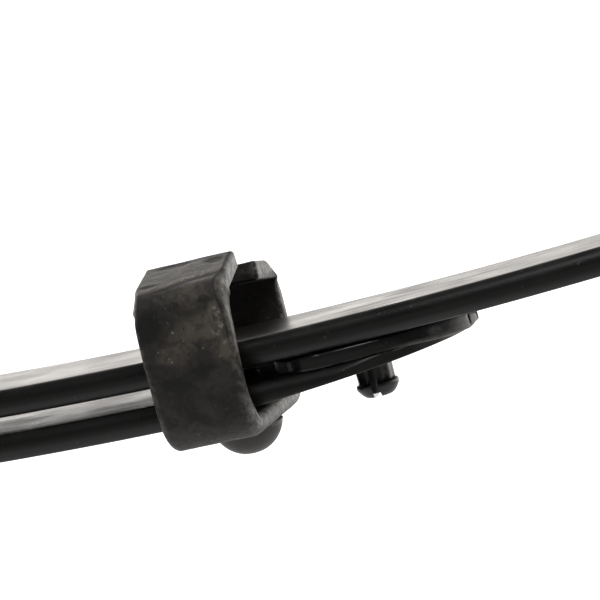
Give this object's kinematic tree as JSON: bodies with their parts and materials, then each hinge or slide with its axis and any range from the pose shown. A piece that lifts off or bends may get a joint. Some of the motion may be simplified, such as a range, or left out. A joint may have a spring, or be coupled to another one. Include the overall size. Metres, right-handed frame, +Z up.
{
  "type": "leaf spring",
  "caption": "Semi-elliptic vehicle leaf spring: bowed flat leaves with rolled, rubber-bushed eyes, riveted rebound clips, plastic tip liners and a centre bolt.",
  "frame": {"origin": "where the centre bolt's axis meets the flat underside of the lowest leaf, which sits on the axle", "axes": "+X along the spring to the front eye, +Y across the leaves, +Z up from the axle seat to the main leaf"},
  "size_m": [1.4056, 0.0911, 0.1991],
  "materials": {
    "painted_leaf": "satin black paint over hot-rolled spring steel",
    "clip_steel": "dull brown-black, scuffed and specked",
    "rivet_steel": "satin brown-grey",
    "liner_plastic": "glossy black",
    "bush_rubber": "matt",
    "plated_steel": "zinc-plated"
  },
  "bodies": {
    "leaf_pack": {"main_leaf": "painted_leaf", "second_leaf": "painted_leaf", "third_leaf": "painted_leaf", "upper_seat_spacer": "painted_leaf", "lower_seat_spacer": "painted_leaf", "centre_bolt": "plated_steel", "centre_nut": "plated_steel"},
    "front_arm": {"front_eye_outer_sleeve": "plated_steel", "front_eye_rubber": "bush_rubber", "front_outer_clip": "clip_steel", "front_outer_rivet": "rivet_steel", "front_outer_liner": "liner_plastic", "front_inner_clip": "clip_steel", "front_inner_rivet": "rivet_steel", "front_inner_liner": "liner_plastic"},
    "rear_arm": {"rear_eye_outer_sleeve": "plated_steel", "rear_eye_rubber": "bush_rubber", "rear_outer_clip": "clip_steel", "rear_outer_rivet": "rivet_steel", "rear_outer_liner": "liner_plastic", "rear_inner_clip": "clip_steel", "rear_inner_rivet": "rivet_steel", "rear_inner_liner": "liner_plastic"},
    "front_bush_core": {"front_eye_inner_sleeve": "plated_steel"},
    "rear_bush_core": {"rear_eye_inner_sleeve": "plated_steel"}
  },
  "joints": [
    {"name": "front_flex", "type": "hinge", "parent": "leaf_pack", "child": "front_arm", "pos_m": [0.2173, 0, 0.0341], "axis": [0, 1, 0], "range_deg": [-3, 15], "stiffness_Nm_per_rad": 4000, "deforming": ["main_leaf", "second_leaf", "third_leaf"]},
    {"name": "rear_flex", "type": "hinge", "parent": "leaf_pack", "child": "rear_arm", "pos_m": [-0.2173, 0, 0.0341], "axis": [0, -1, 0], "range_deg": [-3, 15], "stiffness_Nm_per_rad": 4000, "deforming": ["main_leaf", "second_leaf", "third_leaf"]},
    {"name": "front_bush_twist", "type": "hinge", "parent": "front_arm", "child": "front_bush_core", "pos_m": [0.67135, 0, 0.15959], "axis": [0, 1, 0], "range_deg": [-25, 25], "stiffness_Nm_per_rad": 60},
    {"name": "rear_bush_twist", "type": "hinge", "parent": "rear_arm", "child": "rear_bush_core", "pos_m": [-0.67135, 0, 0.15959], "axis": [0, 1, 0], "range_deg": [-25, 25], "stiffness_Nm_per_rad": 60}
  ]
}
